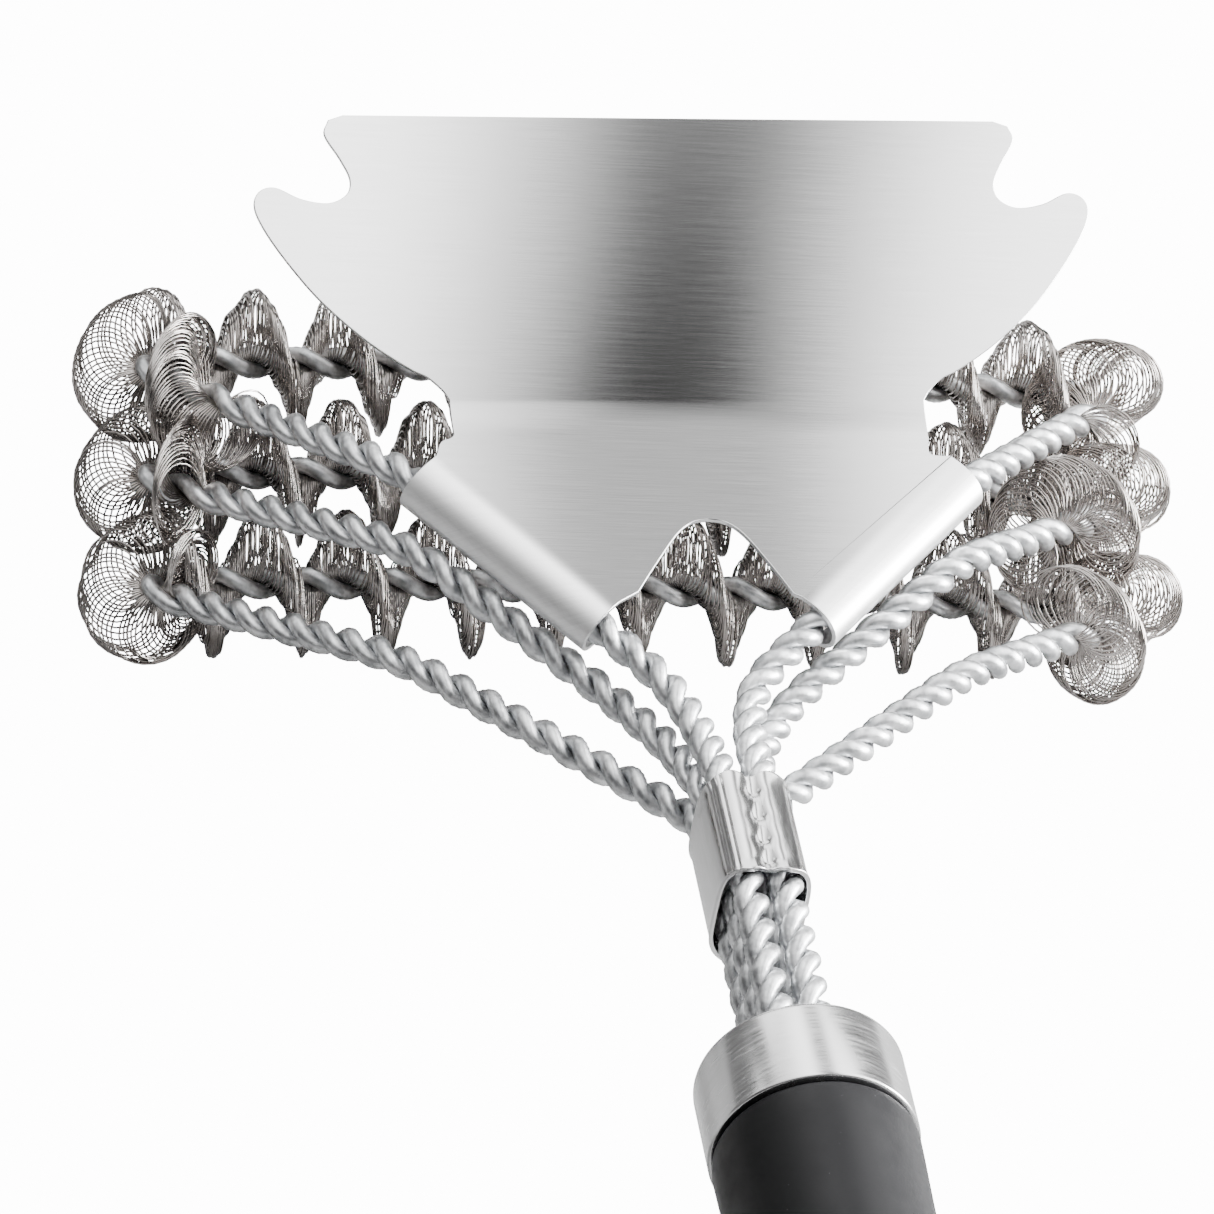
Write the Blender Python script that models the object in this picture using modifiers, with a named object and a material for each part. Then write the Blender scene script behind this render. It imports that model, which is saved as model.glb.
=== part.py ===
"""Grill cleaning brush: three coil-covered wire loops, a scraper plate and a round handle.

Brush frame: X across the head, Y along the handle towards the head, Z towards the
scraper's side, origin in the middle of the crimp sleeve's front edge. Dimensions below
are in millimetres. The root empty tips the brush so that it lies on its lower coil
and on the handle's end.
"""

import math

import bmesh
import bpy
import numpy as np
from mathutils import Matrix

MM = 0.001

# Wire loops: (name, strand layer height, arm bends on the +X side, corner)
STRAND_HALF_GAP = 2.8
STRAND_TOP_Y = 3.0
LAYER_PITCH = 5.45
LOOPS = (
    ("upper", LAYER_PITCH, ((3.7, 17.0, 2.3), (6.6, 28.7, 1.5), (43.2, 66.6, 9.6)), (77.3, 108.1, -5.6)),
    ("middle", 0.0, ((6.7, 19.3, -3.3), (14.0, 32.0, -4.4), (43.0, 57.2, 2.9)), (77.3, 91.9, -14.3)),
    ("lower", -LAYER_PITCH, ((5.6, 8.0, -6.2), (43.8, 44.4, -8.6)), (77.3, 75.6, -22.9)),
)
CORNER_RADIUS = 4.3
BAR_BOW = 5.1
BEND_CUT = 3.5
WIRE_END_Y = -112.0
TWIST_START_Y = -76.0
WIRE_SIDE = 2.1
TWIST_RADIUS = 1.39
TWIST_LAY = 20.8
POINTS_PER_TURN = 6
CORNER_STEP = 1.8
CORNER_ZONE = 9.5

# Spiral coil sleeves on the crossbars
COIL_OUTER_RADIUS = 12.0
COIL_INNER_RADIUS = 4.1
COIL_TURNS = 10
COIL_HALF_ANGLE = math.radians(60)
COIL_FIRST_TURN_X = -65.7
COIL_STEP = 2.4
COIL_PAST_CORNER = 9.5

# Scraper plate, in its own coordinates: x across, y up from the bend line
SHEET = 0.8
HEM_RADIUS = 3.5
HEM_ANGLE = math.radians(200)
HEM_STEPS = 8
HEM_TOP_X = 42.4
HEM_END_X = {1: 18.0, -1: 15.6}
BEND_FROM_ARM = 48.2
BEND_ANGLE = math.radians(23.8)
BLADE_HALF = (
    (37.2, 0.0), (38.6, 3.6), (42.6, 7.6), (49.2, 12.2), (55.8, 18.2), (60.4, 23.8), (64.0, 29.2),
    (65.7, 33.2), (65.0, 35.8), (62.4, 36.6), (58.4, 34.8), (54.2, 34.2), (51.4, 35.6), (50.8, 38.0),
    (52.2, 41.2), (54.4, 45.0), (53.7, 47.4), (51.4, 48.2),
)
SHOULDER_HALF = ((37.2, -2.0), (38.8, -5.0))
TAB_INNER_HALF = ((14.9, -38.8), (11.9, -33.8), (8.6, -28.0), (5.2, -22.6), (2.6, -20.2))
ARCH_TOP = -19.6
TAB_TIP_Y = -38.8
PLATE_SKEW = math.radians(2.1)
PLATE_SHIFT = (1.56, -0.53)

# Crimp sleeve round the six strands
SLEEVE_FRONT_Y = 0.4
SLEEVE_BACK_Y = -21.0
SLEEVE_HALF_X = 6.0
SLEEVE_HALF_Z = 8.7
SLEEVE_WALL = 0.9
SLEEVE_VALLEY = 1.3
SLEEVE_VALLEY_WIDTH = 1.3
SLEEVE_SQUARENESS = (0.62, 0.5)

# Collar, handle, end cap and hanging ring
COLLAR_FRONT_Y = -53.7
COLLAR_LENGTH = 15.1
COLLAR_RADIUS = 15.0
COLLAR_WALL = 1.2
COLLAR_EDGE = 1.5
GAP = 0.3
TENON_LENGTH = 12.0
HANDLE_PROFILE = ((14.6, -70.0), (14.7, -72.0), (14.2, -98.0), (15.0, -145.0), (16.0, -205.0),
                  (15.4, -252.0), (14.5, -287.0), (14.6, -303.5))
BORE_DEPTH_Y = -113.0
CAP_FRONT_Y = -303.8
CAP_PROFILE = ((15.0, -305.0), (15.2, -310.0), (14.2, -315.5), (11.4, -319.2), (7.5, -320.6))
PIVOT_Y = -326.0
LUG_HALF_WIDTH = 4.5
LUG_RADIUS = 6.5
LUG_HOLE_RADIUS = 2.6
LUG_NECK = 8.0
RING_WIRE_RADIUS = 1.8
RING_HALF_WIDTH = 12.0
RING_REACH = 28.0
RING_CORNER = 4.0
ROUND_STEPS = 32
FLOOR_GAP = 0.05

parts = None
cutters = None


def clear_scene():
    for old in list(bpy.data.objects):
        bpy.data.objects.remove(old, do_unlink=True)


def new_collection(name):
    made = bpy.data.collections.new(name)
    bpy.context.scene.collection.children.link(made)
    return made


def material(name, colour, roughness, metallic):
    made = bpy.data.materials.new(name)
    made.use_nodes = True
    shader = made.node_tree.nodes["Principled BSDF"]
    shader.inputs["Base Color"].default_value = (*colour, 1.0)
    shader.inputs["Roughness"].default_value = roughness
    shader.inputs["Metallic"].default_value = metallic
    return made


def add_part(name, data, look, parent):
    """The object that carries this mesh or curve, in the parts collection."""
    made = bpy.data.objects.new(name, data)
    parts.objects.link(made)
    made.parent = parent
    data.materials.append(look)
    return made


def add_cutter(name, data, owner, operation):
    """A helper solid in the owner's local frame, joined to it or cut from it."""
    helper = bpy.data.objects.new(name, data)
    cutters.objects.link(helper)
    helper.parent = owner
    helper.hide_render = True
    helper.display_type = "WIRE"
    cut = owner.modifiers.new(name, "BOOLEAN")
    cut.operation = operation
    cut.solver = "EXACT"
    cut.object = helper
    return helper


def mesh_of(name, points, faces):
    """A mesh from points in millimetres."""
    data = bpy.data.meshes.new(name)
    data.from_pydata([tuple(p) for p in np.asarray(points, float) * MM], [], faces)
    data.validate()
    return data


def smooth(obj, angle=math.radians(35)):
    obj.data.shade_smooth()
    obj.data.set_sharp_from_angle(angle=angle)


def unit(vector):
    vector = np.asarray(vector, float)
    return vector / np.linalg.norm(vector)


# Paths


def rounded(points, cut):
    """The polyline with each inner corner replaced by a short curve that starts this far from it."""
    points = [np.asarray(p, float) for p in points]
    made = [points[0]]
    for before, corner, after in zip(points, points[1:], points[2:]):
        reach_in = min(cut, 0.45 * np.linalg.norm(corner - before))
        reach_out = min(cut, 0.45 * np.linalg.norm(after - corner))
        start = corner + unit(before - corner) * reach_in
        end = corner + unit(after - corner) * reach_out
        for t in np.linspace(0, 1, 5):
            made.append((1 - t) ** 2 * start + 2 * t * (1 - t) * corner + t * t * end)
    made.append(points[-1])
    return made


def half_loop(layer, bends, corner):
    """Centreline on the +X side, from the strand's end in the handle to the crossbar's middle."""
    last = np.array(bends[-1])
    rise = np.array([0.0, corner[1] - last[1], corner[2] - last[2]])
    climb = unit(rise)
    centre = np.array([corner[0] - CORNER_RADIUS, corner[1], corner[2]])
    to_centre = np.array([centre[0] - last[0], np.linalg.norm(rise)])
    distance = np.linalg.norm(to_centre)
    heading = math.atan2(to_centre[1], to_centre[0]) - math.asin(CORNER_RADIUS / distance)

    def on_corner(angle):
        across = CORNER_RADIUS * math.cos(angle)
        return centre + np.array([across, 0.0, 0.0]) + climb * CORNER_RADIUS * math.sin(angle)

    arc = [on_corner(a) for a in np.linspace(heading - math.pi / 2, math.pi / 2, 12)]
    strand = [(STRAND_HALF_GAP, WIRE_END_Y, layer), (STRAND_HALF_GAP, STRAND_TOP_Y, layer)]
    arm = rounded(strand + list(bends) + [arc[0]], BEND_CUT)
    away = unit([0.0, corner[1], corner[2] - layer])
    bar_end = arc[-1]
    bar_middle = np.array([0.0, corner[1], corner[2]]) + away * BAR_BOW
    bar = []
    for t in np.linspace(1, 0, 20)[1:]:
        level = bar_end * t * t + bar_middle * (1 - t * t)
        bar.append(np.array([bar_end[0] * t, level[1], level[2]]))
    return arm + arc[1:] + bar


def whole_loop(half):
    """The half centreline mirrored and joined, from the -X strand's end to the +X strand's end."""
    mirrored = [p * np.array([-1.0, 1.0, 1.0]) for p in half]
    return np.array(mirrored + half[-2::-1])


class Path:
    """A polyline that can be read at any distance along it."""

    def __init__(self, points):
        self.points = np.asarray(points)
        steps = np.linalg.norm(np.diff(self.points, axis=0), axis=1)
        self.along = np.concatenate([[0.0], np.cumsum(steps)])
        self.length = self.along[-1]

    def at(self, distance):
        return np.array([np.interp(distance, self.along, self.points[:, k]) for k in range(3)])

    def frame(self, distance, reach=0.6):
        """Position, and two unit vectors across the path: one towards +Z, one level."""
        tangent = unit(self.at(min(distance + reach, self.length)) - self.at(max(distance - reach, 0.0)))
        up = np.array([0.0, 0.0, 1.0])
        normal = unit(up - tangent * tangent.dot(up))
        return self.at(distance), normal, np.cross(tangent, normal)

    def near_corner(self, distance):
        x = self.at(distance)[0]
        return abs(x) > LOOPS[0][3][0] - CORNER_ZONE

    def stations(self, start, end, step, corner_step):
        """Distances from start to end, closer together round the corners."""
        fine = np.arange(start, end, 0.25)
        density = [1.0 / (corner_step if self.near_corner(s) else step) for s in fine]
        count = np.concatenate([[0.0], np.cumsum(density) * 0.25])[:-1]
        wanted = np.linspace(0, count[-1], int(round(count[-1])) + 1)
        return list(np.interp(wanted, count, fine))


def swept(name, rings):
    """A closed solid through rings of points that match one to one."""
    sides = len(rings[0])
    points = np.concatenate(rings)
    faces = []
    for k in range(len(rings) - 1):
        for i in range(sides):
            j = (i + 1) % sides
            faces.append((k * sides + i, k * sides + j, (k + 1) * sides + j, (k + 1) * sides + i))
    faces.append(tuple(range(sides))[::-1])
    faces.append(tuple(range((len(rings) - 1) * sides, len(rings) * sides)))
    return mesh_of(name, points, faces)


def outward(data):
    """The mesh with its faces turned out."""
    shape = bmesh.new()
    shape.from_mesh(data)
    bmesh.ops.recalc_face_normals(shape, faces=shape.faces)
    shape.to_mesh(data)
    shape.free()
    return data


# Sub-parts


def twisted_wire(name, path, side, look, root):
    """One of the two wires that twist round each other along a loop's centreline."""
    twist_start = TWIST_START_Y - WIRE_END_Y
    twist_end = path.length - twist_start
    turns = round((twist_end - twist_start) / TWIST_LAY)
    half = WIRE_SIDE / 2
    stations = path.stations(twist_start, twist_end, TWIST_LAY / POINTS_PER_TURN, CORNER_STEP)
    rings = []
    for distance in [0.0] + stations + [path.length]:
        turned = (np.clip(distance, twist_start, twist_end) - twist_start) / (twist_end - twist_start)
        angle = 2 * math.pi * turns * turned + math.pi * side
        place, normal, level = path.frame(distance)
        out = normal * math.cos(angle) + level * math.sin(angle)
        round_it = level * math.cos(angle) - normal * math.sin(angle)
        middle = place + out * TWIST_RADIUS
        corners = ((1, 1), (-1, 1), (-1, -1), (1, -1))
        ring = [middle + out * half * a + round_it * half * b for a, b in corners]
        rings.append(np.array(ring))
    return add_part(name, outward(swept(name, rings)), look, root)


def coil(name, path, look, root):
    """The spiral coil sleeve on a crossbar: a round bundle that winds along and round the core wires."""
    corner_x = LOOPS[0][3][0] - CORNER_RADIUS
    middle = path.length / 2
    pitch = (corner_x - COIL_FIRST_TURN_X) / COIL_TURNS
    beyond = middle - path.along[np.argmax(path.points[:, 0] < -corner_x)] + COIL_PAST_CORNER
    stations = path.stations(middle - beyond, middle + beyond, COIL_STEP, CORNER_STEP)
    rings = []
    for distance in stations:
        place, normal, level = path.frame(distance)
        x = np.clip(place[0], COIL_FIRST_TURN_X, corner_x)
        if distance > middle and place[1] < path.at(middle)[1] - BAR_BOW:
            x = corner_x
        angle = -math.pi / 2 + 2 * math.pi * (x - COIL_FIRST_TURN_X) / pitch
        ring = []
        for beta in np.linspace(-COIL_HALF_ANGLE, COIL_HALF_ANGLE, 5):
            ring.append((COIL_OUTER_RADIUS * math.cos(beta), angle + beta))
        for beta in np.linspace(COIL_HALF_ANGLE, -COIL_HALF_ANGLE, 3):
            ring.append((COIL_INNER_RADIUS, angle + beta))
        rings.append(np.array([place + r * (normal * math.cos(a) + level * math.sin(a)) for r, a in ring]))
    made = add_part(name, outward(swept(name, rings)), look, root)
    smooth(made)
    return made


def askew(x, y, share):
    """A point of the plate turned and shifted in its own plane: the plate sits slightly askew on the arms."""
    turn = PLATE_SKEW * share
    across = math.cos(turn) * x - math.sin(turn) * y + PLATE_SHIFT[0] * share
    return across, math.sin(turn) * x + math.cos(turn) * y + PLATE_SHIFT[1] * share


def scraper_plate(look, root):
    """A bent sheet whose two lower edges roll round the upper loop's arms."""
    inner, outer = np.array(LOOPS[0][2][1]), np.array(LOOPS[0][2][2])
    rise = outer[1:] - inner[1:]
    slope = math.atan2(rise[1], rise[0])
    ahead = np.array([0.0, math.cos(slope), math.sin(slope)])
    above = np.array([0.0, -math.sin(slope), math.cos(slope)])
    blade_up = ahead * math.cos(BEND_ANGLE) + above * math.sin(BEND_ANGLE)
    bend = np.array([0.0, inner[1], inner[2]]) + above * HEM_RADIUS + ahead * BEND_FROM_ARM
    across = np.array([1.0, 0.0, 0.0])
    arm_rate = np.linalg.norm(rise) / (outer[0] - inner[0])

    def hem_line(x):
        return np.array([x, (x - inner[0]) * arm_rate - BEND_FROM_ARM])

    def tab_point(flat, side, skew=0.0):
        x, y = askew(side * flat[0], flat[1], skew)
        return bend + across * x + ahead * y

    def blade_point(flat, side):
        x, y = askew(side * flat[0], flat[1], 1.0)
        return bend + across * x + blade_up * y

    def inner_skew(y):
        return 1.0 - 0.5 * (ARCH_TOP - y) / (ARCH_TOP - TAB_TIP_Y)

    points, faces = [], []

    def add(new):
        first = len(points)
        points.extend(new)
        return list(range(first, len(points)))

    blade = {side: add([blade_point(p, side) for p in BLADE_HALF]) for side in (1, -1)}
    faces.append(blade[1] + blade[-1][::-1])
    hem_xs = {s: np.linspace(HEM_TOP_X, HEM_END_X[s], 4) for s in (1, -1)}
    shoulder = {s: add([tab_point(p, s, 1.0) for p in SHOULDER_HALF]) for s in (1, -1)}
    hem = {s: add([tab_point(hem_line(x), s) for x in hem_xs[s]]) for s in (1, -1)}
    inside = {s: add([tab_point(p, s, inner_skew(p[1])) for p in TAB_INNER_HALF]) for s in (1, -1)}
    arch = add([tab_point((0.0, ARCH_TOP), 1, 1.0)])
    right = [blade[1][0]] + shoulder[1] + hem[1] + inside[1]
    left = [blade[-1][0]] + shoulder[-1] + hem[-1] + inside[-1]
    faces.append(left + arch + right[::-1])
    for side in (1, -1):
        along = unit(np.array([side * (outer[0] - inner[0]), *rise]))
        sideways = unit(np.cross(along, above)) * side
        rim = hem[side]
        for k in range(1, HEM_STEPS + 1):
            angle = HEM_ANGLE * k / HEM_STEPS
            turn = sideways * math.sin(angle) - above * (1 - math.cos(angle))
            next_rim = add([points[i] + turn * HEM_RADIUS for i in hem[side]])
            for i in range(len(rim) - 1):
                faces.append([rim[i], rim[i + 1], next_rim[i + 1], next_rim[i]])
            rim = next_rim
    data = mesh_of("scraper_plate", points, faces)
    outward(data)
    made = add_part("scraper_plate", data, look, root)
    wall = made.modifiers.new("sheet", "SOLIDIFY")
    wall.thickness = SHEET * MM
    wall.offset = 0.0
    wall.use_even_offset = True
    wall.use_quality_normals = True
    return made


def bundle_outline(half_x, half_z, valley, count=28):
    """A rounded box outline round the six strands, with a shallow valley between the two columns."""
    made = []
    for k in range(count):
        angle = 2 * math.pi * (k + 0.5) / count
        c, s = math.cos(angle), math.sin(angle)
        x = half_x * math.copysign(abs(c) ** SLEEVE_SQUARENESS[0], c)
        z = half_z * math.copysign(abs(s) ** SLEEVE_SQUARENESS[1], s)
        dip = valley * math.exp(-((x / SLEEVE_VALLEY_WIDTH) ** 2))
        made.append((x, z - math.copysign(dip, s)))
    return made


def crimp_sleeve(look, root):
    outline = bundle_outline(SLEEVE_HALF_X + SLEEVE_WALL / 2, SLEEVE_HALF_Z + SLEEVE_WALL / 2, SLEEVE_VALLEY)
    points, faces = [], []
    levels = np.linspace(SLEEVE_BACK_Y, SLEEVE_FRONT_Y, 3)
    for y in levels:
        points.extend([(x, y, z) for x, z in outline])
    count = len(outline)
    for k in range(len(levels) - 1):
        for i in range(count):
            j = (i + 1) % count
            faces.append((k * count + i, k * count + j, (k + 1) * count + j, (k + 1) * count + i))
    made = add_part("crimp_sleeve", outward(mesh_of("crimp_sleeve", points, faces)), look, root)
    wall = made.modifiers.new("wall", "SOLIDIFY")
    wall.thickness = SLEEVE_WALL * MM
    wall.offset = 0.0
    wall.use_even_offset = True
    smooth(made)
    return made


def turned(name, profile, look, root):
    """A body turned about the handle's axis from (radius, y) points, given from head to butt."""
    data = bpy.data.meshes.new(name)
    points = [(r * MM, 0.0, y * MM) for r, y in profile]
    data.from_pydata(points, [(i, i + 1) for i in range(len(points) - 1)], [])
    made = add_part(name, data, look, root)
    made.rotation_euler = (-math.pi / 2, 0.0, 0.0)
    spin = made.modifiers.new("turn", "SCREW")
    spin.axis = "Z"
    spin.angle = 2 * math.pi
    spin.steps = ROUND_STEPS
    spin.render_steps = ROUND_STEPS
    spin.use_merge_vertices = True
    spin.merge_threshold = 0.00001
    spin.use_smooth_shade = True
    return made


def bundle_cutter(name, owner, front_y, back_y):
    """Cuts the strands' slot along the handle's axis, in the turned body's own frame."""
    outline = bundle_outline(SLEEVE_HALF_X + 0.3, SLEEVE_HALF_Z + 0.3, 0.0)
    rings = [np.array([(x, -z, y) for x, z in outline]) for y in (front_y, back_y)]
    return add_cutter(name, outward(swept(name, rings)), owner, "DIFFERENCE")


def collar(look, root):
    front, back = COLLAR_FRONT_Y, COLLAR_FRONT_Y - COLLAR_LENGTH
    edge = [
        (COLLAR_RADIUS - COLLAR_EDGE * (1 - math.sin(a)), front - COLLAR_EDGE * (1 - math.cos(a)))
        for a in np.linspace(0, math.pi / 2, 4)
    ]
    inner = COLLAR_RADIUS - COLLAR_WALL
    profile = [(0.0, front)] + edge + [(COLLAR_RADIUS, back), (inner, back)]
    profile += [(inner, front - COLLAR_WALL), (0.0, front - COLLAR_WALL)]
    made = turned("collar", profile, look, root)
    bundle_cutter("collar_slot", made, front + 5, front - 8)
    return made


def handle(look, root):
    tenon_top = COLLAR_FRONT_Y - COLLAR_LENGTH + TENON_LENGTH
    tenon_radius = COLLAR_RADIUS - COLLAR_WALL - GAP
    shoulder_y = HANDLE_PROFILE[0][1] + 0.8
    profile = [(0.0, tenon_top), (tenon_radius - 0.6, tenon_top), (tenon_radius, tenon_top - 0.6)]
    profile += [(tenon_radius, shoulder_y), (HANDLE_PROFILE[0][0] - 0.5, shoulder_y)]
    profile += list(HANDLE_PROFILE) + [(0.0, HANDLE_PROFILE[-1][1])]
    made = turned("handle", profile, look, root)
    bundle_cutter("handle_bore", made, tenon_top + 5, BORE_DEPTH_Y)
    return made


def cross_cylinder(name, radius, width, neck):
    """A cylinder across the handle at the ring's pivot, its head side drawn out by the neck's length."""
    shape = bmesh.new()
    place = Matrix.Translation((0.0, 0.0, PIVOT_Y * MM)) @ Matrix.Rotation(math.pi / 2, 4, "Y")
    bmesh.ops.create_cone(shape, cap_ends=True, segments=24, radius1=radius * MM, radius2=radius * MM,
                          depth=width * MM, matrix=place)
    for vertex in shape.verts:
        if vertex.co.z > PIVOT_Y * MM:
            vertex.co.z += neck * MM
    data = bpy.data.meshes.new(name)
    shape.to_mesh(data)
    shape.free()
    return data


def end_cap(look, root):
    profile = [(0.0, CAP_FRONT_Y), (14.4, CAP_FRONT_Y)] + list(CAP_PROFILE) + [(0.0, CAP_PROFILE[-1][1])]
    made = turned("end_cap", profile, look, root)
    lug = cross_cylinder("ring_lug", LUG_RADIUS, 2 * LUG_HALF_WIDTH, LUG_NECK)
    add_cutter("ring_lug", lug, made, "UNION")
    hole = cross_cylinder("ring_hole", LUG_HOLE_RADIUS, 4 * LUG_HALF_WIDTH, 0.0)
    add_cutter("ring_hole", hole, made, "DIFFERENCE")
    return made


def hanging_ring(look, root):
    """A D-shaped wire ring whose straight side turns in the end cap's lug."""
    pivot = bpy.data.objects.new("ring_pivot", None)
    parts.objects.link(pivot)
    pivot.parent = root
    pivot.location = (0.0, PIVOT_Y * MM, 0.0)
    bow_y = -(RING_REACH - RING_WIRE_RADIUS - RING_HALF_WIDTH)
    right = [(x, 0.0) for x in (0.0, 3.0, 6.0)]
    for a in np.linspace(math.pi / 2, 0, 4):
        x = RING_HALF_WIDTH - RING_CORNER + RING_CORNER * math.cos(a)
        right.append((x, -RING_CORNER + RING_CORNER * math.sin(a)))
    for a in np.linspace(0, -math.pi / 2, 7):
        right.append((RING_HALF_WIDTH * math.cos(a), bow_y + RING_HALF_WIDTH * math.sin(a)))
    outline = right + [(-x, y) for x, y in right[-2:0:-1]]
    data = bpy.data.curves.new("hanging_ring", "CURVE")
    data.dimensions = "3D"
    data.bevel_depth = RING_WIRE_RADIUS * MM
    data.bevel_resolution = 2
    wire = data.splines.new("POLY")
    wire.points.add(len(outline) - 1)
    for point, (x, y) in zip(wire.points, outline):
        point.co = (x * MM, y * MM, 0.0, 1.0)
    wire.use_cyclic_u = True
    return add_part("hanging_ring", data, look, pivot), pivot


# Resting pose


def world_points(obj):
    graph = bpy.context.evaluated_depsgraph_get()
    evaluated = obj.evaluated_get(graph)
    mesh = evaluated.to_mesh()
    made = np.array([evaluated.matrix_world @ v.co for v in mesh.vertices])
    evaluated.to_mesh_clear()
    return made


def lay_down(root, lower_coil, butt_pieces, pivot, every_piece):
    """Tips the brush onto its lower coil and its butt, lets the ring droop to the floor, and centres it."""
    bpy.context.view_layer.update()
    head = world_points(lower_coil)[:, 1:]
    butt = np.concatenate([world_points(piece)[:, 1:] for piece in butt_pieces])

    def lowest(points, tilt):
        return (points @ np.array([math.sin(tilt), math.cos(tilt)])).min()

    low, high = 0.0, math.radians(10)
    for _ in range(50):
        tilt = (low + high) / 2
        if lowest(head, tilt) < lowest(butt, tilt):
            low = tilt
        else:
            high = tilt
    lift = -lowest(head, tilt)
    root.rotation_euler = (tilt, 0.0, 0.0)
    pivot_height = PIVOT_Y * MM * math.sin(tilt) + lift
    reach = (RING_REACH - RING_WIRE_RADIUS) * MM
    droop = math.asin((pivot_height - (RING_WIRE_RADIUS + FLOOR_GAP) * MM) / reach)
    pivot.rotation_euler = (droop - tilt, 0.0, 0.0)
    root.location = (0.0, 0.0, lift)
    bpy.context.view_layer.update()
    ys = np.concatenate([world_points(piece)[:, 1] for piece in every_piece])
    root.location = (0.0, -(ys.min() + ys.max()) / 2, lift)
    bpy.context.view_layer.update()


def build():
    global parts, cutters
    clear_scene()
    parts = new_collection("grill_cleaning_brush")
    cutters = new_collection("cutters")
    root = bpy.data.objects.new("brush_axis", None)
    parts.objects.link(root)
    wire_steel = material("galvanized_wire", (0.55, 0.56, 0.57), 0.38, 1.0)
    spring_steel = material("spring_steel", (0.62, 0.60, 0.58), 0.22, 1.0)
    sheet_steel = material("brushed_sheet_steel", (0.78, 0.78, 0.78), 0.3, 1.0)
    bright_steel = material("bright_steel", (0.74, 0.73, 0.72), 0.16, 1.0)
    black_plastic = material("black_plastic", (0.02, 0.02, 0.022), 0.42, 0.0)
    made = []
    coils = {}
    for name, layer, bends, corner in LOOPS:
        path = Path(whole_loop(half_loop(layer, bends, corner)))
        for side, letter in enumerate("ab"):
            made.append(twisted_wire(f"{name}_loop_wire_{letter}", path, side, wire_steel, root))
        coils[name] = coil(f"{name}_coil", path, spring_steel, root)
        made.append(coils[name])
    made.append(scraper_plate(sheet_steel, root))
    made.append(crimp_sleeve(bright_steel, root))
    made.append(collar(bright_steel, root))
    grip = handle(black_plastic, root)
    cap = end_cap(black_plastic, root)
    ring, pivot = hanging_ring(bright_steel, root)
    made += [grip, cap, ring]
    lay_down(root, coils["lower"], (grip, cap), pivot, made)


build()
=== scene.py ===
import math

import bmesh
import bpy
import numpy as np
from mathutils import Matrix, Vector

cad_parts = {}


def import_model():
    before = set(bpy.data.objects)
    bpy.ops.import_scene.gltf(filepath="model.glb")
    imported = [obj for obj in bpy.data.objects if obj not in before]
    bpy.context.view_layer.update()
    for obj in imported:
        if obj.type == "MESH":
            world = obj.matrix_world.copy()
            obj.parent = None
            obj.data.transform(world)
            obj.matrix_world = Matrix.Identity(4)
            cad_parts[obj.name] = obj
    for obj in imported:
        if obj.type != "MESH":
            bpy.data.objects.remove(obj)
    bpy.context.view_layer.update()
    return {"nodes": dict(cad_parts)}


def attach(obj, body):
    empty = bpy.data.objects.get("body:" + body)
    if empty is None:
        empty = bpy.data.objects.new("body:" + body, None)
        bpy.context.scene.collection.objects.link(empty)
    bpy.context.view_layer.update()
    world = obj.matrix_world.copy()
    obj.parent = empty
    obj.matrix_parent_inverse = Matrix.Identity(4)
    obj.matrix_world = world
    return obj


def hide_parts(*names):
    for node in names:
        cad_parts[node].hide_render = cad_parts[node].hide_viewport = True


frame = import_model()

MM = 0.001
BEVEL_ANGLE = math.radians(50)
SHARP_ANGLE = math.radians(40)

# Brush frame, in millimetres: X across the head, Y along the handle to the head, Z to the scraper's side
STRAND_HALF_GAP = 2.8
STRAND_TOP_Y = 3.0
LAYER_PITCH = 5.45
CORNER_X = 77.3
# Each loop's name, strand level, bends of its +X arm, and corner
LOOPS = (
    ("upper", LAYER_PITCH, ((3.7, 17.0, 2.3), (6.6, 28.7, 1.5), (43.2, 66.6, 9.6)), (CORNER_X, 108.1, -5.6)),
    ("middle", 0.0, ((6.7, 19.3, -3.3), (14.0, 32.0, -4.4), (43.0, 57.2, 2.9)), (CORNER_X, 91.9, -14.3)),
    ("lower", -LAYER_PITCH, ((5.6, 8.0, -6.2), (43.8, 44.4, -8.6)), (CORNER_X, 75.6, -22.9)),
)
CORNER_RADIUS = 4.3
CORNER_STEPS = 24
BAR_BOW = 5.1
BAR_STEPS = 40
BEND_CUT = 7.0
BEND_CUT_SHARE = 0.45
BEND_CUT_STEPS = 9
WIRE_END_Y = -112.0
PATH_SAMPLES = 2400

# Core wires. A lay is the length of one turn of the twist, and BAR_LAY holds (place from the middle, lay)
CORE_RADIUS = 1.34
TWIST_RADIUS = 1.3
TWIST_AT_MIDDLE = math.radians(120)
TWIST_BLEND = 1.5
ARM_LAY = 10.4
BAR_LAY = ((-80.0, 17.5), (-56.0, 13.3), (-1.0, 13.3), (1.0, 14.4))
WIRE_STEP = 0.75
WIRE_SIDES = 14

# The fine spring wire, how far it runs past the crossbar on each side, and how uneven its loops are
LOOP_RADIUS = 5.85
LOOP_HALF_WIDTH = 6.9
LOOP_LEAN = math.radians(5)
LOOP_SEGMENTS = 22
BAR_SPACING = 0.25
CORNER_SPACING = 0.23
SPACING_BLEND = 2.0
SPRING_RADIUS = 0.17
SPRING_SIDES = 5
SPRING_PAST_BAR = {"upper": (26.0, 19.0), "middle": (20.0, 29.0), "lower": (14.0, 24.5)}
SLIP_SPREAD = 0.4
STRAY_SPREAD = 0.1
LEAN_SPREAD = 0.07
SIZE_SPREAD = 0.04
SCATTER_WIDTH = 3

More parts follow.
